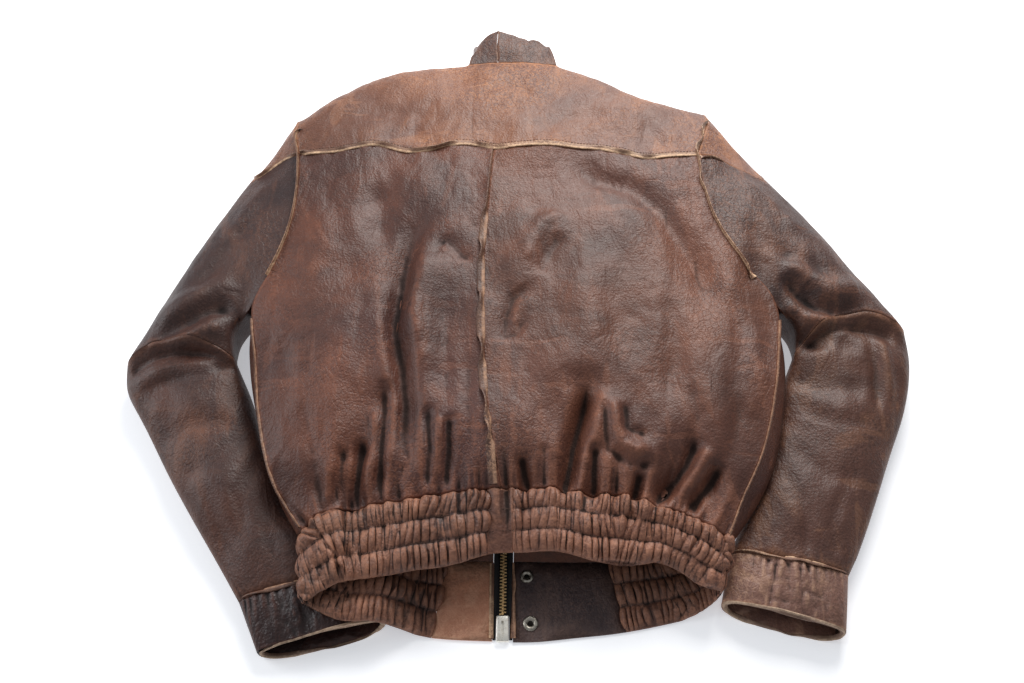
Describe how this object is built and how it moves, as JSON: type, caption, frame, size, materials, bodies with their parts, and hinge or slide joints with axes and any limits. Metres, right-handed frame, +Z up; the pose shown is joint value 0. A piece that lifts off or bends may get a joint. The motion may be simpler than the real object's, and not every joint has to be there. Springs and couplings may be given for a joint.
{
  "type": "leather blouson",
  "caption": "Worn leather blouson with a yoke, shirred waistband, stand collar and front zip, lying face down on a flat surface.",
  "frame": {"origin": "middle of the bounding box, on the surface the garment lies on", "axes": "+X to the right as seen from above with the hem nearest, +Y from the hem to the collar, +Z up from the surface; the front of the garment faces down"},
  "size_m": [0.8194, 0.7678, 0.0852],
  "materials": {
    "yoke_leather": "worn, satin",
    "back_left_leather": "worn, satin",
    "back_right_leather": "worn, satin",
    "front_leather": "worn, satin",
    "upper_sleeve_leather": "worn, satin",
    "under_sleeve_leather": "worn, satin",
    "cuff_leather": "worn, creased",
    "band_leather": "worn, gathered",
    "end_leather": "worn, satin",
    "tab_leather": "worn, satin",
    "collar_leather": "worn, satin",
    "zip_tape": "woven, matt",
    "aged_brass": "aged",
    "worn_nickel": "worn"
  },
  "bodies": {
    "jacket": {"back_left": "back_left_leather", "back_right": "back_right_leather", "back_yoke": "yoke_leather", "collar_left": "collar_leather", "collar_right": "collar_leather", "cuff_left": "cuff_leather", "cuff_right": "cuff_leather", "front_left": "front_leather", "front_right": "front_leather", "sleeve_cap_left": "yoke_leather", "sleeve_cap_right": "yoke_leather", "sleeve_under_left": "under_sleeve_leather", "sleeve_under_right": "under_sleeve_leather", "sleeve_upper_left": "upper_sleeve_leather", "sleeve_upper_right": "upper_sleeve_leather", "slider_bridge": "aged_brass", "snap_lower": "worn_nickel", "snap_upper": "worn_nickel", "waistband_back_centre": "band_leather", "waistband_back_left": "band_leather", "waistband_back_right": "band_leather", "waistband_end_left": "end_leather", "waistband_end_right": "tab_leather", "waistband_front_left": "band_leather", "waistband_front_right": "band_leather", "zip_box": "worn_nickel", "zip_chain": "aged_brass", "zip_slider": "aged_brass", "zip_tape_left": "zip_tape", "zip_tape_right": "zip_tape"},
    "tab": {"pull_tab": "aged_brass"}
  },
  "joints": [
    {"name": "tab_swing", "type": "hinge", "parent": "jacket", "child": "tab", "pos_m": [-0.01192, 0.2209, 0.00255], "axis": [1, 0, 0], "range_deg": [0, 170]}
  ]
}
